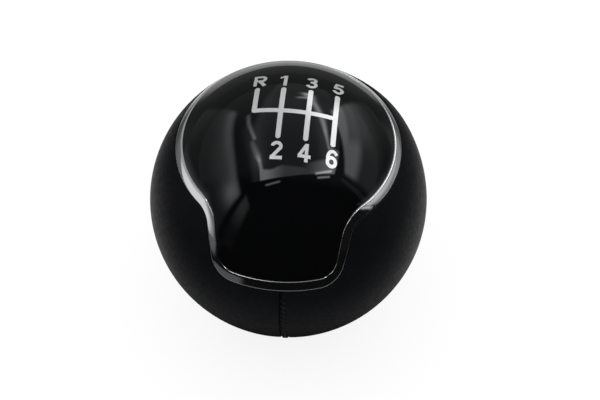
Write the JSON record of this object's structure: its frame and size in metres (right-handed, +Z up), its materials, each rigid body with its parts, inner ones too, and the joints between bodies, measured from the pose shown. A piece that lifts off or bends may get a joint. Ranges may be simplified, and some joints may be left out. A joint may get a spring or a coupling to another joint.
{
  "type": "gear shift knob",
  "caption": "Ball-shaped gear shift knob: black leather grip with a front seam, chrome ring with a front tongue, gloss black cap with a printed shift gate, and a blind lever socket.",
  "frame": {"origin": "middle of the lever hole's mouth, on the flat base face", "axes": "+Z up the lever hole towards the cap; the driver's side, with the seam and the ring's tongue, faces -Y; +X to the driver's right"},
  "size_m": [0.052, 0.0524, 0.0556],
  "materials": {
    "leather": "black smooth leather with a fine grain, satin",
    "thread": "black polyester thread",
    "chrome": "bright chrome plating on plastic",
    "gloss_cap": "piano black, high gloss, with a silver printed gate",
    "gate_print": "silver pad print",
    "moulded_plastic": "black moulded plastic",
    "zinc_screw": "zinc plated steel",
    "core_plastic": "dark grey moulded plastic",
    "cast_weight": "plain die-cast zinc",
    "steel_sleeve": "turned steel",
    "rubber": "black rubber",
    "spring_steel": "spring steel",
    "collar_plastic": "black fine-grained plastic"
  },
  "bodies": {
    "root": {"leather_cover": "leather", "seam_thread": "thread", "trim_ring": "chrome", "shift_cap": "gloss_cap", "cap_carrier": "moulded_plastic", "carrier_screws": "zinc_screw", "upper_core": "core_plastic", "lower_core": "core_plastic", "balance_weight": "cast_weight", "lever_sleeve": "steel_sleeve", "isolator_bush": "rubber", "thrust_washer": "spring_steel", "retaining_clip": "spring_steel", "stop_pad": "rubber", "clamp_ring": "spring_steel", "base_collar": "collar_plastic"}
  },
  "joints": []
}
